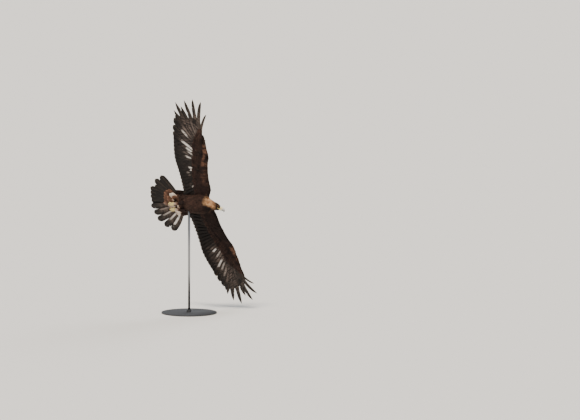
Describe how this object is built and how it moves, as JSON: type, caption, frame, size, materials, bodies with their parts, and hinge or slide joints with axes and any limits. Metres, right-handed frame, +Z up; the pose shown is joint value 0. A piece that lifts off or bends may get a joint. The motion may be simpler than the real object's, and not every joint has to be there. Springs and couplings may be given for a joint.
{
  "type": "golden eagle",
  "caption": "Life-size still model of a golden eagle banking in soaring flight, wings spread and tail fanned, held by a rod on a plain round display base.",
  "frame": {"origin": "centre of the underside of the round base, under the rod", "axes": "+Z up along the rod; +X to the side that the head points to; the belly turns towards -Y, the right wing rises and the left wing drops"},
  "size_m": [0.965, 0.8436, 1.9668],
  "materials": {
    "body_feathers": "matte",
    "gold_feathers": "matte",
    "flight_feathers": "satin",
    "bill_horn": "satin",
    "eye": "gloss",
    "foot_skin": "satin",
    "claw_horn": "gloss",
    "stand_plate": "matte",
    "stand_rod": "satin"
  },
  "bodies": {
    "root": {"torso": "body_feathers", "neck": "gold_feathers", "head": "gold_feathers", "bill_upper": "bill_horn", "bill_lower": "bill_horn", "tail": "flight_feathers", "wing_left": "flight_feathers", "leg_left": "body_feathers", "foot_left": "foot_skin", "eye_left": "eye", "claw_left_inner": "claw_horn", "claw_left_middle": "claw_horn", "claw_left_outer": "claw_horn", "claw_left_hind": "claw_horn", "wing_right": "flight_feathers", "leg_right": "body_feathers", "foot_right": "foot_skin", "eye_right": "eye", "claw_right_inner": "claw_horn", "claw_right_middle": "claw_horn", "claw_right_outer": "claw_horn", "claw_right_hind": "claw_horn", "stand_base": "stand_plate", "stand_rod": "stand_rod"}
  },
  "joints": []
}
